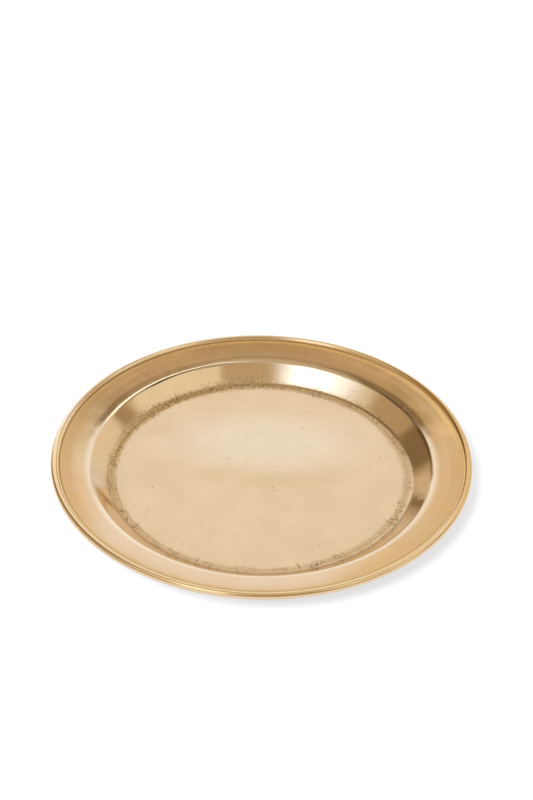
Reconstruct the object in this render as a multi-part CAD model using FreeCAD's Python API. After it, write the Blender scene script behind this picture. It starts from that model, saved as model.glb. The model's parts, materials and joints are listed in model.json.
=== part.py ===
"""Candle paten: a round spun-brass plate with a shallow well, a broad flared rim and a wired edge.

The plate comes apart into four pieces:

  plate_shell     one disc of brass sheet, spun to shape, its edge curled round a wire
  rim_wire        the brass wire inside the curl, a ring whose ends butt together
  adhesive_film   the film that bonds the felt to the underside of the floor
  base_felt       the felt disc that the plate stands on

Millimetres. +Z is up and the plate is round about Z. The origin is at the centre of the felt's
underside, where the plate meets the table. Every section below lies in the X-Z half plane with X > 0,
so a point is (radius, height), and each piece is its section turned about Z.
"""

import FreeCAD, Part

import math
import os

# --- Driving dimensions -----------------------------------------------------------------------

PLATE_DIAMETER = 140.0    # over the wired edge
SHEET = 0.6               # thickness of the brass, the same everywhere

WIRE_DIAMETER = 1.0       # wire inside the curled edge
WIRE_CLEARANCE = 0.02     # between the wire and the curl, all round
WIRE_BUTT_GAP = 0.3       # between the two ends of the ring of wire
BEAD_STEP = 0.5           # how far the bead stands above the top of the flare
BEAD_FILLET = 0.25        # radius of the groove between the flare and the bead
CURL_GAP = 0.15           # between the sheet's free edge and the underside of the flare

FLARE_WIDTH = 10.3        # radial, from the shoulder's corner to the inside of the bead
FLARE_ANGLE = 11.5        # degrees that the flare rises outwards

SHOULDER_RADIUS = 4.5     # tight bend at the top of the wall, on the top face
SHOULDER_ANGLE = 18.5     # degrees that the sheet still rises where the tight bend ends
EASING_RADIUS = 18.0      # easy bend from there into the flare, on the top face

WELL_DEPTH = 5.36         # from the shoulder's corner down to the floor
WALL_ANGLE = 37.5         # degrees that the wall rises from the floor
COVE_RADIUS = 2.5         # where the wall meets the floor, on the top face

FELT_THICKNESS = 1.2
FELT_SETBACK = 3.0        # from the edge of the floor's flat underside in to the felt's edge
FILM_THICKNESS = 0.15
FILM_SETBACK = 0.5        # from the felt's edge in to the film's edge

# --- Sizes that follow ------------------------------------------------------------------------

flare_slope = math.radians(FLARE_ANGLE)
shoulder_slope = math.radians(SHOULDER_ANGLE)
wall_slope = math.radians(WALL_ANGLE)

curl_inside = WIRE_DIAMETER / 2 + WIRE_CLEARANCE
bead_radius = curl_inside + SHEET

floor_underside = FELT_THICKNESS + FILM_THICKNESS
floor_top = floor_underside + SHEET

shoulder_x = PLATE_DIAMETER / 2 - 2 * bead_radius - FLARE_WIDTH
shoulder_z = floor_top + WELL_DEPTH
floor_corner_x = shoulder_x - WELL_DEPTH / math.tan(wall_slope)

# The floor is flat out to where the cove begins.
floor_flat_radius = floor_corner_x - COVE_RADIUS * math.tan(wall_slope / 2)
felt_radius = floor_flat_radius - FELT_SETBACK
film_radius = felt_radius - FILM_SETBACK

# The wire sits below the flare's top face, so that the bead stands BEAD_STEP above it.
flare_above_wire = bead_radius - BEAD_STEP
wire_x = PLATE_DIAMETER / 2 - bead_radius
wire_z = (shoulder_z + (wire_x - shoulder_x) * math.tan(flare_slope)
          - flare_above_wire / math.cos(flare_slope))

Z_AXIS = FreeCAD.Vector(0, 0, 1)


# --- Drawing in the section -------------------------------------------------------------------

def point(x, z):
    """A point of the section, at radius x and height z."""
    return FreeCAD.Vector(x, 0, z)


def direction(angle):
    """Unit vector in the section, at this angle (radians) above the outward direction."""
    return point(math.cos(angle), math.sin(angle))


def line(start, end):
    return Part.LineSegment(start, end).toShape()


def arc(centre, radius, start_angle, end_angle):
    """Circular edge between two angles (radians), the way round that the angles run."""
    middle_angle = (start_angle + end_angle) / 2
    ends = [centre + direction(a) * radius for a in (start_angle, middle_angle, end_angle)]
    return Part.Arc(*ends).toShape()


def joined(edges):
    """The edges with straight lines put in wherever one ends before the next begins."""
    outline = []
    for edge, following in zip(edges, edges[1:] + edges[:1]):
        outline.append(edge)
        start = edge.lastVertex(True).Point
        end = following.firstVertex(True).Point
        if start.distanceToPoint(end) > 1e-7:
            outline.append(line(start, end))
    return outline


def turned(edges, degrees=360.0):
    """The closed outline turned about Z into a solid."""
    section = Part.Face(Part.Wire(joined(edges)))
    return section.revolve(FreeCAD.Vector(0, 0, 0), Z_AXIS, degrees)


# --- The pieces -------------------------------------------------------------------------------

def make_plate_shell():
    """Floor, cove, wall, shoulder, flare and curl, all of one thickness of sheet.

    Both faces of the sheet share the centre of every bend, so that the thickness never changes.
    """
    half_turn = math.pi
    straight_up = half_turn / 2

    # The cove bends the sheet upwards.
    cove = point(floor_flat_radius, floor_top + COVE_RADIUS)
    cove_start, cove_end = -straight_up, wall_slope - straight_up

    # The shoulder bends it outwards again, tightly and then easily. Its centre lies square to the
    # wall at the bend's start, which is so far down the wall that the easy bend ends on the flare.
    shoulder_start, easing_start = wall_slope + straight_up, shoulder_slope + straight_up
    easing_end = flare_slope + straight_up
    bend = wall_slope - flare_slope
    radius_gain = EASING_RADIUS - SHOULDER_RADIUS
    flare_to_centre = EASING_RADIUS - radius_gain * math.cos(shoulder_slope - flare_slope)
    down_the_wall = (flare_to_centre - SHOULDER_RADIUS * math.cos(bend)) / math.sin(bend)
    shoulder = (point(shoulder_x, shoulder_z) - direction(wall_slope) * down_the_wall
                - direction(shoulder_start) * SHOULDER_RADIUS)
    easing = shoulder - direction(easing_start) * radius_gain

    # The curl is drawn in the flare's own directions: along it, and square to it.
    along, square = direction(flare_slope), direction(flare_slope + straight_up)
    wire = point(wire_x, wire_z)
    fillet_reach = bead_radius + BEAD_FILLET
    fillet_rise = flare_above_wire + BEAD_FILLET
    fillet_back = math.sqrt(fillet_reach ** 2 - fillet_rise ** 2)
    fillet = wire - along * fillet_back + square * fillet_rise
    towards_fillet = half_turn - math.asin(fillet_rise / fillet_reach) + flare_slope
    fillet_start, fillet_end = flare_slope - straight_up, towards_fillet - half_turn

    # The free edge comes round below the wire and stops CURL_GAP under the flare.
    edge_drop = CURL_GAP - (flare_above_wire - SHEET)
    free_edge = -half_turn + math.asin(edge_drop / bead_radius) + flare_slope

    top_face = [
        line(point(0, floor_top), point(floor_flat_radius, floor_top)),
        arc(cove, COVE_RADIUS, cove_start, cove_end),
        arc(shoulder, SHOULDER_RADIUS, shoulder_start, easing_start),
        arc(easing, EASING_RADIUS, easing_start, easing_end),
        arc(fillet, BEAD_FILLET, fillet_start, fillet_end),
        arc(wire, bead_radius, towards_fillet, free_edge),
    ]
    under_face = [
        arc(wire, curl_inside, free_edge, towards_fillet),
        arc(fillet, BEAD_FILLET + SHEET, fillet_end, fillet_start),
        arc(easing, EASING_RADIUS - SHEET, easing_end, easing_start),
        arc(shoulder, SHOULDER_RADIUS - SHEET, easing_start, shoulder_start),
        arc(cove, COVE_RADIUS + SHEET, cove_end, cove_start),
        line(point(floor_flat_radius, floor_underside), point(0, floor_underside)),
    ]
    return turned(top_face + under_face)


def make_rim_wire():
    """A ring of round wire, cut once, with its two ends facing across the butt gap."""
    section = Part.Wire(Part.Circle(point(wire_x, wire_z), FreeCAD.Vector(0, 1, 0),
                                    WIRE_DIAMETER / 2).toShape())
    gap_angle = math.degrees(WIRE_BUTT_GAP / wire_x)
    ring = Part.Face(section).revolve(FreeCAD.Vector(0, 0, 0), Z_AXIS, 360.0 - gap_angle)
    ring.rotate(FreeCAD.Vector(0, 0, 0), Z_AXIS, 90.0 + gap_angle / 2)
    return ring


def make_disc(radius, underside, thickness):
    """A flat disc on the Z axis."""
    return Part.makeCylinder(radius, thickness, point(0, underside), Z_AXIS)


def make_adhesive_film():
    return make_disc(film_radius, FELT_THICKNESS, FILM_THICKNESS)


def make_base_felt():
    return make_disc(felt_radius, 0.0, FELT_THICKNESS)


PIECES = {
    "plate_shell": make_plate_shell,
    "rim_wire": make_rim_wire,
    "adhesive_film": make_adhesive_film,
    "base_felt": make_base_felt,
}


def main():
    os.makedirs("parts", exist_ok=True)
    for name, make in PIECES.items():
        piece = make()
        piece.exportStep(f"parts/{name}.step")
        box = piece.BoundBox
        print(f"{name}: {piece.Volume:.1f} mm3, z {box.ZMin:.2f} to {box.ZMax:.2f}, "
              f"{len(piece.Solids)} solid, valid {piece.isValid()}")
    print(f"floor: flat to radius {floor_flat_radius:.2f}, top at {floor_top:.2f}")
    print(f"shoulder's corner: radius {shoulder_x:.2f}, height {shoulder_z:.2f}")
    print(f"wire's centre: radius {wire_x:.2f}, height {wire_z:.2f}")


main()
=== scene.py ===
# %% [markdown]
# # A candle paten in spun brass
#
# A paten is a small round plate of metal. This one carries a candle: a flat floor, a short wall,
# a broad rim that rises outwards, and a bead at the edge where the sheet is curled round a wire.
# Under the floor is a felt disc, so that the brass doesn't mark the table.
#
# The model's solids come already built and at their real size. They are loaded first, and every
# size below is read from them where they can say it.

import functools
import json
import math

import bpy
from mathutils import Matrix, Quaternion, Vector, noise


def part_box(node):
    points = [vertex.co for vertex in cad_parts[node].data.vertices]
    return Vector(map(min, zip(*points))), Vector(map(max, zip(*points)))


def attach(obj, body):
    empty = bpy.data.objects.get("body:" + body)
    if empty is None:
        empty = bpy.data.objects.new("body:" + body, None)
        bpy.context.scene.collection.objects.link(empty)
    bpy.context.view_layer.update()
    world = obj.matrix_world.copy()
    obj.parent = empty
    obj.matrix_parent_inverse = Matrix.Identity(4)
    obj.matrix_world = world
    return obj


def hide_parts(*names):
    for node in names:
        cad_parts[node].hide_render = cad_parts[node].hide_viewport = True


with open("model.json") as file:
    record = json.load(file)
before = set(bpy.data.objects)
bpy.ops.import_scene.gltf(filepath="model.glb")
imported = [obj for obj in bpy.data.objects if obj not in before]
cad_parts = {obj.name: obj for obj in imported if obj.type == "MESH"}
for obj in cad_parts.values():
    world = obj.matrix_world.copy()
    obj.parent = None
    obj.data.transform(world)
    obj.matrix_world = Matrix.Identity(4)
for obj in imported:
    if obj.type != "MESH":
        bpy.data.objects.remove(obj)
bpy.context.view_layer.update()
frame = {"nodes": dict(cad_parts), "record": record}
record = frame["record"]
mounts = {mount["name"]: Vector(mount["pos_m"]) for mount in record["mounts"]}
MM = 0.001

# %% [markdown]
# ## Writing finishes as sums
#
# A finish in Blender is a tree of nodes. Wiring dozens of Math nodes by hand hides the idea behind
# them, so one small class wraps an output socket and gives it +, -, * and the rest. A line such as
# `1 - crease * 0.5` then adds the nodes that work it out. Everything else, such as a noise or a
# colour mix, comes from the one method `node`.

# %% A value that changes over a surface
class Field:
    """One output socket of a node tree, which can be used in a sum."""

    def __init__(self, tree, socket=None):
        self.tree = tree
        self.socket = socket

    def node(self, kind, settings=None, sockets=None, output=0):
        """Adds a node: its settings first, then the values or links of its sockets."""
        made = self.tree.nodes.new("ShaderNode" + kind)
        for name, value in (settings or {}).items():
            setattr(made, name, value)
        for name, value in (sockets or {}).items():
            if isinstance(value, Field):
                self.tree.links.new(value.socket, made.inputs[name])
            else:
                made.inputs[name].default_value = value
        return Field(self.tree, made.outputs[output])

    def sum(self, operation, *values):
        return self.node("Math", {"operation": operation}, dict(enumerate(values)))

    def __add__(self, other):
        return self.sum("ADD", self, other)

    def __sub__(self, other):
        return self.sum("SUBTRACT", self, other)

    def __rsub__(self, other):
        return self.sum("SUBTRACT", other, self)

    def __mul__(self, other):
        return self.sum("MULTIPLY", self, other)

    def __truediv__(self, other):
        return self.sum("DIVIDE", self, other)

    def __pow__(self, other):
        return self.sum("POWER", self, other)

    def __abs__(self):
        return self.sum("ABSOLUTE", self)

    __radd__ = __add__
    __rmul__ = __mul__

    def either(self, other):
        """The larger of the two."""
        return self.sum("MAXIMUM", self, other)

    def rise(self, start, end):
        """0 up to start, 1 from end on, and a smooth rise between them."""
        ends = {"Value": self, "From Min": start, "From Max": end}
        return self.node("MapRange", {"interpolation_type": "SMOOTHSTEP"}, ends)

    def band(self, start, end, soft):
        """1 between start and end, fading out over soft on both sides."""
        return self.rise(start - soft, start + soft) - self.rise(end - soft, end + soft)

    def near(self, middle, reach):
        """1 at middle, fading to 0 at reach on either side of it."""
        return 1 - abs(self - middle).rise(0, reach)

    def tint(self, low, high):
        """The colour low where this is 0 and high where it is 1. Each is a colour or a Field."""
        low, high = (end if isinstance(end, Field) else (*end, 1) for end in (low, high))
        # A colour mix has its factor at socket 0, its colours at 6 and 7, and its result at 2.
        return self.node("Mix", {"data_type": "RGBA"}, {0: self, 6: low, 7: high}, 2)

    def stretched(self, *factors):
        """This vector with each of its three parts multiplied."""
        return self.node("VectorMath", {"operation": "MULTIPLY"}, {0: self, 1: factors})

    def grain(self, size, detail=3.0, rough=0.5):
        """Noise over this place, in features of about this size, from 0 to 1."""
        sockets = {"Vector": self, "Scale": 1 / size, "Detail": detail, "Roughness": rough}
        return self.node("TexNoise", {}, sockets)

    def bump(self, depth):
        """This height as fine relief, to feed a Normal. depth is what 0 to 1 comes to in metres."""
        return self.node("Bump", {}, {"Height": self, "Distance": depth, "Strength": 1.0})


def strongest(masks):
    """The largest of several masks."""
    return functools.reduce(Field.either, masks)


def finish_for(name, **plain):
    """A new finish: its Principled shader, the place on the piece in millimetres, and the material.

    plain holds the shader's sockets that have one value all over the piece.
    """
    material = bpy.data.materials.new(name)
    material.use_nodes = True
    shader = material.node_tree.nodes["Principled BSDF"]
    for socket, value in plain.items():
        shader.inputs[socket.replace("_", " ")].default_value = value
    corner = Field(material.node_tree).node("TexCoord", output="Object")
    return shader, corner.stretched(1 / MM, 1 / MM, 1 / MM), material


def feed(shader, **fields):
    """Links fields to a shader's sockets, where Base_Color means the socket Base Color."""
    for socket, field in fields.items():
        field.tree.links.new(field.socket, shader.inputs[socket.replace("_", " ")])


# %% [markdown]
# ## The camera
#
# A long lens from across the table, a little under forty degrees above it. The camera stands back
# far enough for the ellipses to stay nearly regular, looks just over the plate, and is held a
# degree out of level, as a camera in the hand is.

# %% Place the camera
CAMERA_LENS = 100
CAMERA_DISTANCE = 740 * MM
CAMERA_ELEVATION = math.radians(38.3)
AIM_ABOVE_PLATE = math.radians(1.48)
AIM_RIGHT_OF_PLATE = math.radians(0.10)
CAMERA_ROLL = math.radians(1.12)

wire_low, wire_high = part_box("rim_wire")
rim_middle = Vector((0, 0, (wire_low.z + wire_high.z) / 2))
towards_camera = Vector((0, -math.cos(CAMERA_ELEVATION), math.sin(CAMERA_ELEVATION)))

camera = bpy.data.objects.new("camera", bpy.data.cameras.new("camera"))
bpy.context.scene.collection.objects.link(camera)
bpy.context.scene.camera = camera
camera.data.lens = CAMERA_LENS
camera.data.clip_start = 10 * MM
camera.data.clip_end = 100
camera.location = rim_middle + towards_camera * CAMERA_DISTANCE
camera.rotation_mode = "QUATERNION"
camera.rotation_quaternion = (
    (-towards_camera).to_track_quat("-Z", "Y")
    @ Quaternion((1, 0, 0), AIM_ABOVE_PLATE)
    @ Quaternion((0, 1, 0), -AIM_RIGHT_OF_PLATE)
    @ Quaternion((0, 0, 1), CAMERA_ROLL)
)
print("camera stands", round(camera.location.z, 3), "m above the table")

# %% [markdown]
# ## The studio
#
# Polished brass shows the room more than itself, so the room is the most important light. It is a
# white table, a white backdrop behind it, a strong soft light high on the left, a tall strip and a
# broad soft light on the right, and warm dimness between them. The lights could be lamps, but what
# matters here is only where each is seen in the brass. So they are drawn on the sky as panels, by
# compass bearing and height, where a soft edge is one number.

# %% Light the studio
# Bearings are in degrees, with 0 straight behind the plate and 90 to the right.
# Each panel: bearings, heights, softness of its edge, colour and brightness. A pair of
# softnesses is for the sides first, then for top and bottom. Later panels lie over earlier ones.
# The two called camera are the dark bulk of the camera and of whoever stands behind it.
PANELS = {
    "dim wall": ((-60, 36), (41, 64), 5, (1.0, 0.72, 0.40), 0.30),
    "dim corner": ((-66, -38), (44, 62), 4, (1.0, 0.68, 0.36), 0.17),
    "dim wall, middle": ((-17, 15), (41, 62), 4, (1.0, 0.85, 0.64), 0.67),
    "dim wall, right": ((15, 36), (51, 64), 6, (1.0, 0.82, 0.58), 0.45),
    "backdrop": ((-33, 38), (-95, 42), 3, (1.0, 1.0, 0.99), 1.08),
    "backdrop, low left": ((-37, -19), (-30, 12), 4, (1.0, 0.84, 0.62), 0.76),
    "backdrop, low right": ((20, 38), (-30, 20), 4, (1.0, 0.90, 0.80), 0.86),
    "backdrop, middle": ((-12, 12), (30, 48), 3, (1.0, 1.0, 0.99), 1.08),
    "backdrop, right end": ((36, 64), (-95, 36), 4, (1.0, 0.92, 0.81), 0.96),
    "dark doorway": ((-59, -39), (-5, 42), 2.5, (1.0, 0.71, 0.43), 0.28),
    "right strip": ((38, 57), (38, 80), 3, (1.0, 0.98, 0.90), 1.6),
    "overhead strip": ((22, 76), (73, 83), 5, (1.0, 0.99, 0.93), 1.3),
    "right soft light": ((72, 135), (37, 68), 4, (1.0, 0.95, 0.84), 1.02),
    "right light, low end": ((88, 108), (22, 42), 5, (1.0, 0.95, 0.86), 0.95),
    "gap beside the strip": ((60, 86), (53, 82), 2.5, (1.0, 0.68, 0.35), 0.10),
    "gap, lower part": ((59.5, 67), (27, 52), 2.5, (1.0, 0.77, 0.49), 0.45),
    "camera, left": ((-200, -162), (43, 60), 4, (1.0, 0.80, 0.55), 0.28),
    "camera, right": ((142, 200), (43, 60), 4, (1.0, 0.80, 0.55), 0.28),
    "above the camera": ((-168, -140), (60, 80), 8, (1.0, 0.97, 0.92), 0.85),
    "beside the left light": ((-108, -85), (43, 61), 6, (1.0, 0.97, 0.93), 0.98),
    "left light, low end": ((-164, -138), (14, 52), 6, (1.0, 0.99, 0.96), 1.2),
    "left soft light": ((-145, -109), (56, 74), (24, 8), (1.0, 1.0, 1.0), 2.6),
}
# Where there is no panel, the room goes from one tone to the other between two heights.
ROOM_LOW = (0.55, 0.44, 0.29)
ROOM_HIGH = (0.62, 0.51, 0.36)
ROOM_HEIGHTS = (48, 66)


def light_studio():
    world = bpy.data.worlds.new("studio")
    bpy.context.scene.world = world
    world.use_nodes = True
    start = Field(world.node_tree)
    direction = start.node("TexCoord", output="Generated")
    x, y, z = (direction.node("SeparateXYZ", {}, {"Vector": direction}, i) for i in range(3))
    bearing = x.sum("ARCTAN2", x, y) * math.degrees(1)
    height = z.sum("ARCSINE", z) * math.degrees(1)

    light = height.rise(*ROOM_HEIGHTS).tint(ROOM_LOW, ROOM_HIGH)
    for (left, right), (low, high), soft, colour, brightness in PANELS.values():
        sides, ends = soft if isinstance(soft, tuple) else (soft, soft)
        panel = bearing.band(left, right, sides) * height.band(low, high, ends)
        light = panel.tint(light, tuple(part * brightness for part in colour))

    # What the camera sees past the table's edge is plain white.
    seen = start.node("LightPath", output="Is Camera Ray")
    feed(world.node_tree.nodes["Background"], Color=seen.tint(light, (1, 1, 1)))
    print("studio lit by", len(PANELS), "panels")


light_studio()
bpy.context.scene.view_settings.view_transform = "Standard"

# %% [markdown]
# A sky of panels lights the table too evenly for a clear shadow. One lamp, in front of the plate on
# the left, where the strong soft light is, draws it. The lamp is kept out of reflections, so that
# it changes nothing in the brass.

# %% Hang the lamp that draws the shadow
LAMP_BEARING = math.radians(-148)
LAMP_HEIGHT = math.radians(48)
LAMP_SOFTNESS = math.radians(22)
LAMP_STRENGTH = 4.7


def hang_lamp():
    flat = math.cos(LAMP_HEIGHT)
    right, back = flat * math.sin(LAMP_BEARING), flat * math.cos(LAMP_BEARING)
    towards = Vector((right, back, math.sin(LAMP_HEIGHT)))
    lamp = bpy.data.objects.new("lamp", bpy.data.lights.new("lamp", "SUN"))
    bpy.context.scene.collection.objects.link(lamp)
    lamp.data.energy = LAMP_STRENGTH
    lamp.data.angle = LAMP_SOFTNESS
    lamp.rotation_mode = "QUATERNION"
    lamp.rotation_quaternion = (-towards).to_track_quat("-Z", "Y")
    lamp.visible_glossy = False
    print("lamp hangs towards", [round(part, 2) for part in towards])


hang_lamp()

# %% [markdown]
# ## The table
#
# A plain white table, bright enough to come out as paper white, so that only the plate's own
# shadow shows on it. Most of its brightness is a glow of its own, which lightens the shadow as
# white cards round the plate would. Seen from beneath the table is left clear, so that the
# plate's underside can be looked at.

# %% Lay the table
TABLE_SIZE = 12
TABLE_WHITE = (0.26, 0.26, 0.27)
TABLE_GLOW = (0.645, 0.662, 0.685)


def lay_table():
    half = TABLE_SIZE / 2
    corners = [(-half, -half, 0), (half, -half, 0), (half, half, 0), (-half, half, 0)]
    mesh = bpy.data.meshes.new("table")
    mesh.from_pydata(corners, [], [(0, 1, 2, 3)])
    table = bpy.data.objects.new("table", mesh)
    bpy.context.scene.collection.objects.link(table)

    shader, place, material = finish_for(
        "white_table", Base_Color=(*TABLE_WHITE, 1), Roughness=0.9,
        Emission_Color=(*TABLE_GLOW, 1), Emission_Strength=1.0)
    beneath = place.node("NewGeometry", output="Backfacing")
    clear = place.node("BsdfTransparent")
    top = Field(material.node_tree, shader.outputs[0])
    mixed = place.node("MixShader", {}, {0: beneath, 1: top, 2: clear})
    output = material.node_tree.nodes["Material Output"]
    material.node_tree.links.new(mixed.socket, output.inputs["Surface"])
    mesh.materials.append(material)


lay_table()

# %% [markdown]
# ## The plate's section
#
# A spun plate is one sheet pressed over a turning former, so its shape is a single line turned
# about an axis. The line is drawn once, in radius and height, from straight runs and round bends.
# The same bends are drawn again a sheet's thickness lower for the underside. Where the light
# changes fast, at the crease, the shoulder and the bead, the points stand close together.

# %% Measure the sheet and its edge
floor_top = mounts["candle_seat"].z
floor_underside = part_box("plate_shell")[0].z
SHEET = floor_top - floor_underside
plate_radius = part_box("plate_shell")[1].x
wire_radius = (wire_high.z - wire_low.z) / 2
wire = Vector((wire_high.x - wire_radius, rim_middle.z))
bead_radius = plate_radius - wire.x
curl_inside = bead_radius - SHEET

WELL_DEPTH = 5.36 * MM
WALL_ANGLE = math.radians(37.5)
SHOULDER_ANGLE = math.radians(18.5)
FLARE_ANGLE = math.radians(11.5)
FLARE_WIDTH = 10.3 * MM
SHOULDER_RADIUS = 4.5 * MM
EASING_RADIUS = 18 * MM
COVE_RADIUS = 2.5 * MM
BEAD_STEP = 0.5 * MM
BEAD_FILLET = 0.25 * MM
CURL_GAP = 0.15 * MM

shoulder_corner = Vector((plate_radius - 2 * bead_radius - FLARE_WIDTH, floor_top + WELL_DEPTH))
floor_corner = shoulder_corner.x - WELL_DEPTH / math.tan(WALL_ANGLE)
floor_flat = floor_corner - COVE_RADIUS * math.tan(WALL_ANGLE / 2)
print(f"sheet {SHEET / MM:.2f} mm, bead {2 * bead_radius / MM:.2f} mm, "
      f"floor flat to radius {floor_flat / MM:.2f} mm")


# %% Draw runs and bends
def heading(angle):
    """Unit vector in the section at this angle above the outward direction."""
    return Vector((math.cos(angle), math.sin(angle)))


def run(start, end, step):
    """Points from start up to just before end, no further apart than step."""
    pieces = max(1, math.ceil((end - start).length / step))
    return [start.lerp(end, i / pieces) for i in range(pieces)]


def bend(centre, radius, start_angle, end_angle, step):
    """Points round a bend, both of its ends included."""
    pieces = max(2, math.ceil(abs(end_angle - start_angle) * radius / step))
    turn = (end_angle - start_angle) / pieces
    return [centre + heading(start_angle + i * turn) * radius for i in range(pieces + 1)]


# %% Draw the whole section
QUARTER = math.pi / 2
cove = Vector((floor_flat, floor_top + COVE_RADIUS))

# The shoulder bends tightly off the wall, then easily into the flare.
bend_angle = WALL_ANGLE - FLARE_ANGLE
radius_gain = EASING_RADIUS - SHOULDER_RADIUS
flare_to_centre = EASING_RADIUS - radius_gain * math.cos(SHOULDER_ANGLE - FLARE_ANGLE)
down_the_wall = (flare_to_centre - SHOULDER_RADIUS * math.cos(bend_angle)) / math.sin(bend_angle)
shoulder = (shoulder_corner - heading(WALL_ANGLE) * down_the_wall
            - heading(WALL_ANGLE + QUARTER) * SHOULDER_RADIUS)
easing = shoulder - heading(SHOULDER_ANGLE + QUARTER) * radius_gain

along, square = heading(FLARE_ANGLE), heading(FLARE_ANGLE + QUARTER)
flare_above_wire = bead_radius - BEAD_STEP
fillet_reach = bead_radius + BEAD_FILLET
fillet_rise = flare_above_wire + BEAD_FILLET
fillet = wire - along * math.sqrt(fillet_reach ** 2 - fillet_rise ** 2) + square * fillet_rise
bead_start = math.pi - math.asin(fillet_rise / fillet_reach) + FLARE_ANGLE
free_edge = -math.pi + math.asin((CURL_GAP - flare_above_wire + SHEET) / bead_radius) + FLARE_ANGLE


def top_line():
    """From the middle of the floor out over the bead and round to the sheet's free edge."""
    crease_start = Vector((floor_flat - 3 * MM, floor_top))
    points = run(Vector((0, floor_top)), crease_start, 3.6 * MM)
    points += run(crease_start, Vector((floor_flat, floor_top)), 0.36 * MM)
    points += bend(cove, COVE_RADIUS, -QUARTER, WALL_ANGLE - QUARTER, 0.3 * MM)
    shoulder_bend = bend(shoulder, SHOULDER_RADIUS, WALL_ANGLE + QUARTER, SHOULDER_ANGLE + QUARTER,
                         0.16 * MM)
    shoulder_bend += bend(easing, EASING_RADIUS, SHOULDER_ANGLE + QUARTER, FLARE_ANGLE + QUARTER,
                          0.35 * MM)[1:]
    fillet_bend = bend(fillet, BEAD_FILLET, FLARE_ANGLE - QUARTER, bead_start - math.pi, 0.1 * MM)
    points += run(points[-1], shoulder_bend[0], 0.45 * MM)[1:] + shoulder_bend
    points += run(points[-1], fillet_bend[0], 0.6 * MM)[1:] + fillet_bend
    return points + bend(wire, bead_radius, bead_start, free_edge, 0.29 * MM)[1:]


def under_line():
    """Back from the free edge, round the wire and under the flare, to the middle of the floor."""
    points = bend(wire, curl_inside, free_edge, bead_start, 0.4 * MM)
    points += bend(fillet, BEAD_FILLET + SHEET, bead_start - math.pi, FLARE_ANGLE - QUARTER,
                   0.3 * MM)[1:]
    shoulder_bend = bend(easing, EASING_RADIUS - SHEET, FLARE_ANGLE + QUARTER,
                         SHOULDER_ANGLE + QUARTER, 1.2 * MM)
    shoulder_bend += bend(shoulder, SHOULDER_RADIUS - SHEET, SHOULDER_ANGLE + QUARTER,
                          WALL_ANGLE + QUARTER, 0.6 * MM)[1:]
    cove_bend = bend(cove, COVE_RADIUS + SHEET, WALL_ANGLE - QUARTER, -QUARTER, 0.6 * MM)
    points += run(points[-1], shoulder_bend[0], 2.2 * MM)[1:] + shoulder_bend
    points += run(points[-1], cove_bend[0], 1.2 * MM)[1:] + cove_bend
    return points + run(points[-1], Vector((0, floor_underside)), 6 * MM)[1:] + [
        Vector((0, floor_underside))]


top, under = top_line(), under_line()
print("section:", len(top), "points over the top,", len(under), "underneath")

# %% [markdown]
# ## Age in the metal
#
# No used plate is perfectly true. Where the floor meets the wall the sheet has puckered into fine
# wrinkles, and short creases cross them. The floor, wall and rim are a little uneven, which is what
# makes reflections waver. These are real shapes, so they go into the mesh as small lifts of the
# sheet. The finest marks are left to the finish.

# %% Creases, wrinkles and waves
# Each crease: its bearing in degrees from the right, the radii in millimetres that it runs over,
# and how many degrees it leans over from a straight line outwards.
CREASES = [
    (37, 47.5, 53, 28), (39, 48.5, 52.5, -24), (75, 48.5, 51.5, 10), (126.5, 48.5, 52, 8),
    (128, 47.5, 53, 14), (129.5, 49.5, 51.5, -8), (151, 47.5, 52, -30), (156, 48, 52.5, 20),
    (165, 47.5, 51.5, -14), (167, 48.5, 51, 24), (205, 48.5, 51.5, -22), (215, 47, 51, 18),
    (246, 47, 51, -12), (285, 46, 50.5, 8), (330, 47.5, 51.5, -20),
]
CREASE_WIDTH = 0.65
CREASE_DEPTH = 0.06
CREASE_SPREAD = 0.06  # no crease reaches further round than this, in radians from its bearing
WRINKLE_RADIUS = 50.2
WRINKLE_REACH = 2.0
WRINKLE_HEIGHT = 0.022
FINE_WRINKLE = 1.5
BROAD_WRINKLE = 3.2
# Waves in the sheet: their length and height in millimetres. They die out towards the bead.
WAVES = [(21, 0.050), (8, 0.040), (4, 0.010)]
CALM_EDGE = 6
# The flare swells a little near its end, and so rolls down to meet the bead.
ROLLED_RADIUS = 65.7
ROLLED_REACH = 1.3
ROLLED_HEIGHT = 0.040


def bump_of(value, middle, reach):
    """1 at middle, fading smoothly to 0 at reach on either side."""
    share = max(0.0, 1 - abs(value - middle) / reach)
    return share * share * (3 - 2 * share)


def lift(radius, bearing):
    """How far the sheet is lifted here, in millimetres. radius is in millimetres too."""
    x, y = radius * math.cos(bearing), radius * math.sin(bearing)
    waves = sum(height * noise.noise(Vector((x, y, length)) / length) for length, height in WAVES)
    lifted = waves * (1 - bump_of(radius, plate_radius / MM, CALM_EDGE))
    wrinkle = noise.noise(Vector((x / FINE_WRINKLE, y / FINE_WRINKLE, 0)))
    wrinkle += 0.6 * noise.noise(Vector((x, y, 9)) / BROAD_WRINKLE)
    lifted += wrinkle * WRINKLE_HEIGHT * bump_of(radius, WRINKLE_RADIUS, WRINKLE_REACH)
    lifted += ROLLED_HEIGHT * bump_of(radius, ROLLED_RADIUS, ROLLED_REACH)
    for degrees, start, end, lean in CREASES:
        off = (bearing - math.radians(degrees) + math.pi) % (2 * math.pi) - math.pi
        if abs(off) < CREASE_SPREAD:
            middle = (start + end) / 2
            aside = off * radius - (radius - middle) * math.tan(math.radians(lean))
            length = bump_of(radius, middle, (end - start) / 2)
            lifted -= CREASE_DEPTH * bump_of(aside, 0, CREASE_WIDTH) * length
    return lifted


# %% [markdown]
# ## Turning the section
#
# The section is turned into a ring of 720 copies joined by four-sided faces, with one shared point
# at each end of the axis. That gives smooth highlights and leaves the faces in neat rows, where a
# plain solid of revolution from the CAD would show its flats in a mirror finish.

# %% Turn a line about the axis
TURNS = 720


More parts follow.
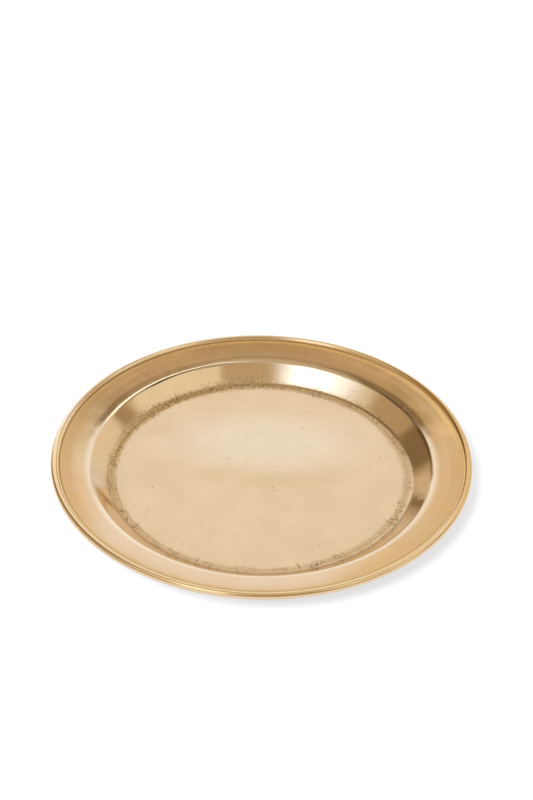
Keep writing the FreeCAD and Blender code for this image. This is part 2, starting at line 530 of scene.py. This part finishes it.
def turned(name, line, lifted_to, turns=TURNS):
    """A mesh of the line turned about Z. The line starts and ends on the axis.

    lifted_to(i, radius, bearing) says how far point i of the line moves up, in metres.
    """
    ring = line[1:-1]
    points = [(0, 0, line[0].y + lifted_to(0, 0, 0))]
    for turn in range(turns):
        bearing = 2 * math.pi * turn / turns
        across, up = math.cos(bearing), math.sin(bearing)
        for i, point in enumerate(ring, 1):
            height = point.y + lifted_to(i, point.x, bearing)
            points.append((point.x * across, point.x * up, height))
    points.append((0, 0, line[-1].y + lifted_to(len(line) - 1, 0, 0)))

    count, last = len(ring), len(points) - 1
    faces = []
    for turn in range(turns):
        here, there = 1 + turn * count, 1 + (turn + 1) % turns * count
        faces.append((0, here, there))
        faces += [(here + i, here + i + 1, there + i + 1, there + i) for i in range(count - 1)]
        faces.append((here + count - 1, last, there + count - 1))
    mesh = bpy.data.meshes.new(name)
    mesh.from_pydata(points, [], faces)
    mesh.polygons.foreach_set("use_smooth", [True] * len(faces))
    mesh.update()
    made = bpy.data.objects.new(name, mesh)
    bpy.context.scene.collection.objects.link(made)
    print(name, "has", len(points), "points and", len(faces), "faces")
    return made


def plate_lift(i, radius, bearing):
    """The top face carries every mark, and the underside stays plain."""
    if i >= len(top):
        return 0
    return lift(radius / MM, bearing) * MM


plate = turned("brass_plate", top + under, plate_lift)

# %% [markdown]
# ## Aged brass, the face
#
# Brass is an alloy, so its colour is that of its reflection: metal all through, with a warm tint.
# Handling and lacquer have given each part of the plate its own look. The floor is satin and pale,
# the shoulder is rubbed brighter, the flare is more golden, and brown patina has stayed in the
# crease and in the groove beside the bead. Light is painted in over that: a pale painted reflection
# behind the floor's middle and painted shade in a band across it, painted highlights on the wall,
# shoulder and bead, painted reflections that leave the fronts of the wall and flare paler, painted
# dark reflections on the wall and under the shoulder, and painted shade low on the front of the
# bead. Radius alone tells the parts apart, so the finish is a set of masks by radius, each broken
# up by noise so that no edge looks drawn.

# %% Colours of the face
FLOOR_BRASS = (0.79, 0.60, 0.40)
# Painted reflection: the pale patch behind the floor's middle.
PAINTED_REFLECTION_BRASS = (0.85, 0.73, 0.555)
# Painted shade in a band across the floor's middle, and the brushed marks.
BRUSHED_AND_SHADED_BRASS = (0.72, 0.52, 0.31)
WALL_BRASS = (0.77, 0.575, 0.355)
# Painted reflection: the wall paler on its front.
PAINTED_REFLECTION_WALL = (0.88, 0.79, 0.62)
RUBBED_BRASS = (0.82, 0.67, 0.50)
FLARE_BRASS = (0.77, 0.58, 0.395)
GOLDEN_BRASS = (0.70, 0.45, 0.21)
OLIVE_BRASS = (0.66, 0.50, 0.27)
ROSY_BRASS = (0.72, 0.48, 0.30)
COPPERY_BRASS = (0.58, 0.35, 0.16)
AMBER_BRASS = (1.0, 0.69, 0.35)
# Painted highlight: the wall where the strong left light shines in it.
PAINTED_HIGHLIGHT_WALL = (0.90, 0.81, 0.68)
# Painted highlight: the shoulder's front.
PAINTED_HIGHLIGHT_SHOULDER = (0.90, 0.78, 0.62)
BEAD_BRASS = (0.88, 0.665, 0.40)
GOLDEN_BEAD = (0.71, 0.47, 0.21)
# Painted highlight on the bead at the back: this colour and the honey one after it.
PAINTED_HIGHLIGHT_BEAD = (1.0, 0.96, 0.88)
HONEY_BEAD = (0.94, 0.73, 0.48)
# Painted shade: the bead low on its front.
PAINTED_SHADE_BEAD = (0.70, 0.55, 0.37)
# Darker brown up the bead's inner side.
BEAD_INNER_BROWN = (0.36, 0.21, 0.06)
YELLOW_LACQUER = (0.67, 0.43, 0.175)
BRIGHT_LACQUER = (1.0, 0.64, 0.26)
# Brown patina in the groove, and painted dark reflections under the shoulder.
PATINA_AND_SHADE_BROWN = (0.27, 0.15, 0.035)
DULL_BRASS = (0.66, 0.46, 0.27)
BROWN_HAZE = (0.48, 0.29, 0.09)
RING_BROWN = (0.34, 0.20, 0.07)
# Painted dark reflection on the wall.
DARK_REFLECTION_BROWN = (0.36, 0.25, 0.13)
BROWN_PATINA = (0.22, 0.13, 0.05)


# %% Marks that are set out on the plate
# Where one part of the plate gives way to the next, as radii in millimetres.
FLOOR_TO_WALL = (50, 52.5)
WALL_TO_SHOULDER = (56.2, 57.2)
SHOULDER_TO_FLARE = (57.3, 59.8)
FLARE_TO_BEAD = (67.3, 67.65)
GROOVE_RADIUS = 67.1
# The rings pressed into the floor's edge: radius, how far each wanders, over what length, width.
RINGS = [(50.6, 0.9, 5.0, 0.34), (48.4, 1.3, 7.0, 0.30), (49.6, 1.6, 3.0, 0.22)]
# The marks round the floor are a little off the plate's own centre.
WELL_CENTRE = (-0.5, -0.1)
# Painted dark reflections on the wall: bearing, radius, how many degrees each leans over, reach
# along and across.
DARK_REFLECTIONS = [(199, 53.8, -60, 3.6, 5.0)]
# Small pits in the floor: where they are across the plate, and how wide, in millimetres.
PITS = [
    (-11, 8, 0.5), (-36, -8, 0.7), (-37, -20, 0.5), (14, 26, 0.5), (4, -7, 0.6),
    (4.5, -9, 0.6), (40, 10, 0.6), (-27, -34, 0.5), (19, -37, 0.5),
]
# Scratches from wiping: which way each set runs in degrees, and how long and wide they are.
SCRATCHES = [(24, 9, 0.16), (-51, 12, 0.14), (83, 7, 0.15)]


def polar(place, centre=(0, 0)):
    """The place's distance from the axis, or from another centre, and its x and y."""
    x, y = (place.node("SeparateXYZ", {}, {"Vector": place}, i) for i in range(2))
    out = ((x - centre[0]) ** 2 + (y - centre[1]) ** 2) ** 0.5
    return out, x, y


def beside(x, y, degrees, radius, lean):
    """How far a place is out from a point on the plate, and how far beside a line leaning there."""
    out, side = math.cos(math.radians(degrees)), math.sin(math.radians(degrees))
    outwards = x * out + y * side - radius
    return outwards, y * out - x * side - outwards * math.tan(math.radians(lean))


def crease_marks(x, y):
    """1 along each short crease that crosses the floor's edge."""
    marks = []
    for degrees, start, end, lean in CREASES:
        outwards, aside = beside(x, y, degrees, (start + end) / 2, lean)
        marks.append(outwards.near(0, (end - start) / 2) * aside.near(0, CREASE_WIDTH * 0.6))
    return strongest(marks)


def painted_dark_reflections(x, y):
    """1 in the middle of each painted dark reflection on the wall."""
    marks = []
    for degrees, radius, lean, length, width in DARK_REFLECTIONS:
        outwards, aside = beside(x, y, degrees, radius, lean)
        marks.append(outwards.near(0, length) * aside.near(0, width))
    return strongest(marks)


def pit_marks(x, y):
    """1 in each pit of the floor."""
    marks = []
    for across, up, width in PITS:
        marks.append(1 - (((x - across) ** 2 + (y - up) ** 2) ** 0.5).rise(0, width))
    return strongest(marks)


# %% Marks that noise and direction set out
def pressed_rings(place, across):
    """Thin rings that wander and fade out in places."""
    marks = []
    for radius, wander, length, width in RINGS:
        off = across + (place.grain(length, 3, 0.6) - 0.5) * wander
        present = place.grain(length * 1.7, 3, 0.6).rise(0.36, 0.58)
        marks.append(off.near(radius, width) * present)
    return strongest(marks)


def along_rings(x, y, across, length, width):
    """Noise drawn out along the rings, in streaks of this length and width."""
    around = {"X": x / across * (50 / length), "Y": y / across * (50 / length), "Z": across / width}
    return x.node("CombineXYZ", {}, around).grain(1, 3, 0.6)


def patch_of(x, y, centre, reach):
    """1 in the middle of an oval patch, fading to 0 at its reach in x and y."""
    out = (((x - centre[0]) / reach[0]) ** 2 + ((y - centre[1]) / reach[1]) ** 2) ** 0.5
    return 1 - out.rise(0.25, 1)


def hairlines(place, turn, length, width, start, end):
    """Thin straight lines in one direction, where the noise along them rises from start to end."""
    axes = {"rotation_type": "Z_AXIS"}
    turned_place = place.node("VectorRotate", axes, {"Vector": place, "Angle": math.radians(turn)})
    return turned_place.stretched(1 / length, 1 / width, 0).grain(1, 2, 0.6).rise(start, end)


def facing(x, y, across, degrees):
    """The cosine of the angle between a place's bearing and this one, in degrees from the right."""
    return (x * math.cos(math.radians(degrees)) + y * math.sin(math.radians(degrees))) / across


# %% Marks on the face
def floor_marks(place, x, y, across):
    """The brown haze in the floor's crease, and the dark thin marks in and beside it."""
    wandering = across + (place.grain(7, 2) - 0.5) * 1.2
    flecks = place.grain(1.0, 4, 0.7).rise(0.36, 0.64)
    behind = (y - 0.5 * x).rise(-35, 25)
    haze = wandering.near(49.5, 2.4) * (0.55 + 0.45 * flecks) * (0.75 + 0.25 * behind)
    haze = haze * (1 + 0.35 * facing(x, y, across, 140).rise(0.75, 0.95))

    wrinkles = along_rings(x, y, across, 3.2, 0.42).rise(0.54, 0.66) * wandering.near(49.8, 2.0)
    clumps = place.grain(8, 2).rise(0.40, 0.62)
    specks = place.grain(0.8, 2, 0.5).rise(0.54, 0.61) * wandering.near(49.8, 4.0) * clumps
    sparse = place.grain(0.9, 2, 0.5).rise(0.71, 0.77) * (1 - across.rise(44, 50))
    dark = strongest([crease_marks(x, y), pit_marks(x, y) * 0.5, specks * 0.8, sparse * 0.25])
    rings = pressed_rings(place, across) * (0.45 + 0.55 * behind)
    rings = rings.either(wrinkles * (0.25 + 0.5 * behind))
    return haze, rings, dark


def groove_patina_and_dark_reflections(place, x, y, across):
    """Brown patina left in the groove beside the bead, and painted dark reflections in thin lines
    under the shoulder.
    """
    groove = (across + (place.grain(4, 3) - 0.5) * 0.2).near(GROOVE_RADIUS, 0.42)
    groove = groove * (0.62 + 0.38 * facing(x, y, across, 125).rise(0.0, 0.5))
    groove = groove * (1 - 0.8 * facing(x, y, across, 15).rise(0.6, 0.95))
    groove = groove * (0.8 + 0.2 * place.grain(3, 3, 0.7).rise(0.4, 0.6))
    # The painted dark reflections under the shoulder are a long line at the back left and a short
    # one at the right.
    long_dark_reflection = across.near(56.75, 0.45) * facing(x, y, across, 126).rise(0.84, 0.93) * 0.2
    short_dark_reflection = across.near(56.8, 0.8) * facing(x, y, across, 7).rise(0.955, 0.98) * 0.9
    return strongest([groove, long_dark_reflection, short_dark_reflection])


# %% Colour of the floor and the wall
def floor_colour(place, x, y, across, well_across, clouds):
    """Paler behind the middle, a painted reflection, and darker golden in a band across the middle,
    painted shade, over brushed marks; painted highlights and reflections on the wall and shoulder.
    """
    # The pale patch behind the middle is a painted reflection.
    painted_highlight = patch_of(x, y, (1, 17), (44, 22)) * (0.55 + 0.9 * (clouds - 0.2))
    # The darker golden band across the middle is painted shade.
    painted_shade_band = patch_of(x, y, (-2, -2), (34, 8)) * (0.4 + 1.2 * (clouds - 0.3))
    brushed = place.stretched(0.8, 1, 1).grain(2.2, 5, 0.65).rise(0.42, 0.66)
    colour = painted_highlight.tint(FLOOR_BRASS, PAINTED_REFLECTION_BRASS)
    colour = (painted_shade_band * 0.6).either(brushed * 0.13).tint(colour, BRUSHED_AND_SHADED_BRASS)
    # The wall is paler on its front, a painted reflection.
    wall = facing(x, y, across, 265).rise(-0.1, 0.5).tint(WALL_BRASS, PAINTED_REFLECTION_WALL)
    # Round bearing 69 the wall is whiter, a painted highlight.
    wall = facing(x, y, across, 69).rise(0.94, 0.99).tint(wall, PAINTED_HIGHLIGHT_WALL)
    # A painted dark reflection on the wall at the front left.
    wall = (painted_dark_reflections(x, y) * 0.8).tint(wall, DARK_REFLECTION_BROWN)
    colour = well_across.rise(*FLOOR_TO_WALL).tint(colour, wall)
    # The shoulder is rubbed brighter, and paler still on its front, a painted highlight.
    shoulder_wear_and_highlight = facing(x, y, across, 265).rise(0.3, 0.8).tint(RUBBED_BRASS, PAINTED_HIGHLIGHT_SHOULDER)
    return across.rise(*WALL_TO_SHOULDER).tint(colour, shoulder_wear_and_highlight)


# %% Colour of the flare and the bead
def flare_colour(place, x, y, across, clouds):
    """Yellowed by the lacquer, most at the sides, in patches of olive, rose, amber and copper, and
    paler on the front, a painted reflection.
    """
    # The front is kept pale, a painted reflection.
    painted_front_reflection = facing(x, y, across, 252).rise(0.6, 0.9)
    yellowed = (1 - painted_front_reflection) * (0.5 + 0.35 * across.rise(60, 65) + 0.35 * x.rise(0, 60))
    yellowed = yellowed + 0.2 * across.rise(60, 65) + 0.5 * (clouds - 0.5)
    colour = yellowed.rise(0, 1.05).tint(FLARE_BRASS, GOLDEN_BRASS)
    sunny = facing(x, y, across, 38).rise(0.70, 0.93) * across.rise(59, 66)
    sunny = sunny.either(facing(x, y, across, 128).rise(0.93, 0.99) * 0.5)
    colour = (sunny * 0.85).tint(colour, AMBER_BRASS)
    drawn_out = {"X": x / across * 4, "Y": y / across * 4, "Z": across / 22}
    patches = place.node("CombineXYZ", {}, drawn_out).grain(1, 2, 0.5)
    colour = (patches.rise(0.48, 0.60) * 0.40 * (1 - painted_front_reflection)).tint(colour, OLIVE_BRASS)
    colour = ((1 - patches.rise(0.38, 0.48)) * 0.40 * (1 - painted_front_reflection)).tint(colour, ROSY_BRASS)
    coppery = facing(x, y, across, 342).rise(0.78, 0.94)
    coppery = coppery.either(facing(x, y, across, 198).rise(0.90, 0.99) * across.rise(60, 65) * 0.6)
    return (coppery * 0.32).tint(colour, COPPERY_BRASS)


def bead_colour(place, x, y, across):
    """Golden at the right, honey to nearly white at the back as a painted highlight, darker low on
    the front as painted shade, and dull up its inner side.
    """
    height = place.node("SeparateXYZ", {}, {"Vector": place}, 2)
    colour = facing(x, y, across, 8).rise(0.75, 0.95).tint(BEAD_BRASS, GOLDEN_BEAD)
    # Honey to nearly white at the back, a painted highlight.
    painted_highlight = across.rise(68.2, 69.0).tint(HONEY_BEAD, PAINTED_HIGHLIGHT_BEAD)
    colour = (y - 0.55 * x).rise(31, 64).tint(colour, painted_highlight)
    # Low on the front of the bead it is darker, painted shade.
    below = (1 - height.rise(9.0, 9.7)) * across.rise(69.0, 69.4) * (1 - y.rise(-40, 5))
    colour = below.tint(colour, PAINTED_SHADE_BEAD)
    # Darker up the bead's inner side, at the back right and at the back left.
    dull_right = facing(x, y, across, 44).rise(0.76, 0.88) * across.near(68.2, 0.55)
    dull_left = facing(x, y, across, 152).rise(0.87, 0.96) * across.near(68.35, 0.40)
    return (dull_right * 0.25).either(dull_left * 0.5).tint(colour, BEAD_INNER_BROWN)


# %% Finish of the face
def finish_face():
    shader, place, material = finish_for(
        "aged_brass_face", Metallic=1.0, Specular_Tint=(0.87, 0.80, 0.72, 1),
        Coat_Weight=0.10, Coat_Roughness=0.16)
    across, x, y = polar(place)
    well_across = polar(place, WELL_CENTRE)[0]

    # Slow clouds in the tone, smaller blots, and a fine tooth over them.
    clouds = place.grain(14, 4, 0.55)
    blots = place.grain(5, 4, 0.6)
    tooth = place.grain(1.1, 4, 0.65)
    scratches = strongest([hairlines(place, *scratch, 0.66, 0.78) for scratch in SCRATCHES])
    haze, rings, dark = floor_marks(place, x, y, well_across)

    colour = floor_colour(place, x, y, across, well_across, clouds)
    flare = flare_colour(place, x, y, across, clouds)
    colour = across.rise(*SHOULDER_TO_FLARE).tint(colour, flare)

    # Towards the bead the lacquer is thick and yellow.
    towards_bead = across.rise(64.8, 66.8) * (1 - across.rise(67.4, 67.8))
    lacquer = towards_bead * (0.5 + 0.8 * (place.grain(5, 2, 0.5) - 0.3))
    lacquer_tone = facing(x, y, across, 62).rise(0.45, 0.85).tint(YELLOW_LACQUER, BRIGHT_LACQUER)
    colour = lacquer.tint(colour, lacquer_tone)
    colour = across.rise(*FLARE_TO_BEAD).tint(colour, bead_colour(place, x, y, across))

    # Dirt and patina lie over all of that, with painted dark reflections in lines under the
    # shoulder.
    colour = (clouds.rise(0.35, 0.75) * 0.16).tint(colour, DULL_BRASS)
    colour = (haze * 0.72).tint(colour, BROWN_HAZE)
    colour = (rings * 0.62).tint(colour, RING_BROWN)
    colour = (groove_patina_and_dark_reflections(place, x, y, across) * 0.95).tint(colour, PATINA_AND_SHADE_BROWN)
    colour = (dark * 0.8).tint(colour, BROWN_PATINA)
    colour = (scratches * 0.16).tint(colour, BROWN_PATINA)

    # Gloss: satin on the floor and the outer flare, bright on the wall, shoulder and bead.
    gloss = 0.25 - 0.15 * well_across.rise(50, 53) + 0.06 * across.rise(58, 61)
    gloss = gloss + 0.12 * across.band(63, 67.4, 0.8)
    rough = gloss + 0.08 * (clouds - 0.5) + 0.05 * (tooth - 0.5) + 0.15 * haze + 0.2 * dark
    height = tooth * (0.30 - 0.20 * across.rise(58, 61)) + 0.25 * blots
    height = height - 0.5 * scratches - 0.9 * dark - 0.35 * rings
    rough = rough + 0.05 * scratches
    feed(shader, Base_Color=colour, Roughness=rough, Normal=height.bump(0.02 * MM))
    print("face finish uses", len(material.node_tree.nodes), "nodes")
    return material


# %% [markdown]
# ## Aged brass, the back
#
# The back was never polished. The spinner's tool leaves fine rings there, a few to the millimetre,
# and the metal has gone browner and duller. One noise, read along the radius alone, gives rings
# whose spacing is never quite the same.

# %% Finish of the back
BACK_BRASS = (0.62, 0.44, 0.24)
BACK_TARNISH = (0.34, 0.21, 0.10)


def finish_back():
    shader, place, material = finish_for("aged_brass_back", Metallic=1.0, Coat_Weight=0.0)
    radius = place.node("CombineXYZ", {}, {"X": polar(place)[0]})
    rings = radius.grain(0.55, 3, 0.6)
    broad_rings = radius.grain(3.4, 2, 0.5)
    blotches = place.grain(9, 5, 0.62)
    colour = blotches.rise(0.38, 0.72).tint(BACK_BRASS, BACK_TARNISH)
    colour = (rings.rise(0.45, 0.75) * 0.35).tint(colour, BACK_TARNISH)
    rough = 0.34 + 0.12 * (blotches - 0.5) + 0.10 * (rings - 0.5)
    height = rings + 0.8 * broad_rings + 0.15 * place.grain(0.8, 3, 0.6)
    feed(shader, Base_Color=colour, Roughness=rough, Normal=height.bump(0.05 * MM))
    return material


# %% Give the plate its two finishes
def dress_plate():
    plate.data.materials.append(finish_face())
    plate.data.materials.append(finish_back())
    # Faces are in rows along the section, one row for each point after the first. The rows from
    # the lowest point of the bead onwards are the back.
    rows = len(top) + len(under) - 1
    on_bead = [i for i, point in enumerate(top) if point.x > wire.x - curl_inside]
    bead_bottom = min(on_bead, key=lambda i: top[i].y)
    backs = [0 if i < bead_bottom else 1 for i in range(rows)]
    plate.data.polygons.foreach_set("material_index", backs * TURNS)
    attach(plate, "root")
    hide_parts("plate_shell")


dress_plate()

# %% [markdown]
# ## The wire in the edge
#
# Hidden in the curl is a ring of drawn brass wire. The solid from the CAD has the right shape, so
# it stays, and only gets its finish: fine lines drawn along its length and spots where it has
# dulled.

# %% Finish of the wire
WIRE_BRASS = (0.72, 0.55, 0.29)
WIRE_DULL = (0.45, 0.30, 0.14)


def finish_wire():
    shader, place, material = finish_for("drawn_brass_wire", Metallic=1.0)
    across, x = polar(place)[:2]
    height = place.node("SeparateXYZ", {}, {"Vector": place}, 2)
    along_wire = place.node("CombineXYZ", {}, {"X": across * 9, "Y": height * 9, "Z": x * 0.05})
    lines = along_wire.grain(1, 3, 0.6)
    spots = place.grain(2.5, 4, 0.6).rise(0.5, 0.75)
    colour = (spots * 0.7).tint(WIRE_BRASS, WIRE_DULL)
    rough = 0.28 + 0.2 * spots + 0.1 * lines
    feed(shader, Base_Color=colour, Roughness=rough, Normal=lines.bump(0.02 * MM))
    return material


rim_wire = frame["nodes"]["rim_wire"]
rim_wire.data.materials.clear()
rim_wire.data.materials.append(finish_wire())

# %% [markdown]
# ## The bonding film
#
# The felt comes with a film of adhesive on its back. It is amber, a little cloudy, and holds small
# air bubbles where it was pressed down.

# %% Finish of the film
FILM_AMBER = (0.72, 0.60, 0.36)
FILM_CLOUD = (0.84, 0.78, 0.62)


def finish_film():
    shader, place, material = finish_for("bonding_film", Metallic=0.0)
    cells = {"Vector": place, "Scale": 0.45, "Randomness": 1.0}
    bubbles = 1 - place.node("TexVoronoi", {}, cells).rise(0.05, 0.22)
    cloud = place.grain(6, 4, 0.6)
    colour = cloud.rise(0.35, 0.7).tint(FILM_AMBER, FILM_CLOUD)
    rough = 0.35 + 0.25 * cloud
    feed(shader, Base_Color=colour, Roughness=rough, Normal=bubbles.bump(0.05 * MM))
    return material


film = frame["nodes"]["adhesive_film"]
film.data.materials.clear()
film.data.materials.append(finish_film())

# %% [markdown]
# ## The felt
#
# A disc of wool felt, cut with a round die. Felt has no weave: it is fibres matted every way, so
# its face is softly lumpy and its cut edge a little ragged. The disc is turned like the plate, its
# edge rounded, and its points moved by noise. The finish adds the fibres as short curved streaks in
# several directions.

# %% Cut and place the felt
FELT_EDGE_ROUND = 0.25 * MM
FELT_NAP = 0.035 * MM
FELT_RAGGED = 0.12 * MM
FELT_TURNS = 480

felt_low, felt_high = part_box("base_felt")
felt_radius = felt_high.x


def felt_line():
    """From the middle of the felt's upper face, over its cut edge, to the middle underneath."""
    edge = felt_radius - FELT_RAGGED
    inner = edge - FELT_EDGE_ROUND
    upper, lower = felt_high.z, felt_low.z + FELT_NAP
    points = run(Vector((0, upper)), Vector((inner, upper)), 4 * MM)
    points += bend(Vector((inner, upper - FELT_EDGE_ROUND)), FELT_EDGE_ROUND, QUARTER, 0, 0.1 * MM)
    points += bend(Vector((inner, lower + FELT_EDGE_ROUND)), FELT_EDGE_ROUND, 0, -QUARTER, 0.1 * MM)
    return points + run(points[-1], Vector((0, lower)), 0.9 * MM)[1:] + [Vector((0, lower))]


def make_felt():
    line = felt_line()
    under_start = next(i for i, point in enumerate(line) if point.y < felt_low.z + 2 * FELT_NAP)

    def nap(i, radius, bearing):
        if i < under_start:
            return 0
        spot = Vector((radius * math.cos(bearing), radius * math.sin(bearing), 0)) / MM
        return FELT_NAP * (0.6 * noise.noise(spot / 1.9) + 0.4 * noise.noise(spot / 0.9))

    felt = turned("felt_disc", line, nap, turns=FELT_TURNS)
    for vertex in felt.data.vertices:
        flat = Vector((vertex.co.x, vertex.co.y, 0))
        if flat.length > felt_radius - 3 * FELT_EDGE_ROUND:
            ragged = noise.noise(vertex.co / MM * 0.9) + 0.5 * noise.noise(vertex.co / MM * 2.6)
            vertex.co += flat.normalized() * ragged * FELT_RAGGED * 0.6
    return felt


felt = make_felt()

# %% Finish of the felt
FELT_GREEN = (0.030, 0.085, 0.048)
FELT_LIGHT = (0.085, 0.17, 0.11)
FIBRE_TURNS = (12, 57, 101, 148)


def finish_felt():
    shader, place, material = finish_for(
        "wool_felt", Roughness=0.95, Sheen_Weight=0.35, Sheen_Roughness=0.5,
        Specular_IOR_Level=0.15)
    curl = place.grain(1.6, 2, 0.5)
    curled = {0: curl, 1: (2, 2, 2), 2: place}
    swirl = place.node("VectorMath", {"operation": "MULTIPLY_ADD"}, curled)
    fibres = strongest([hairlines(swirl, turn, 1.6, 0.09, 0.55, 0.8) for turn in FIBRE_TURNS])
    matting = place.grain(2.8, 5, 0.65)
    colour = (fibres * 0.6 + 0.4 * matting).tint(FELT_GREEN, FELT_LIGHT)
    feed(shader, Base_Color=colour, Normal=(fibres + matting).bump(0.12 * MM))
    return material


felt.data.materials.append(finish_felt())
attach(felt, "root")
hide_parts("base_felt")
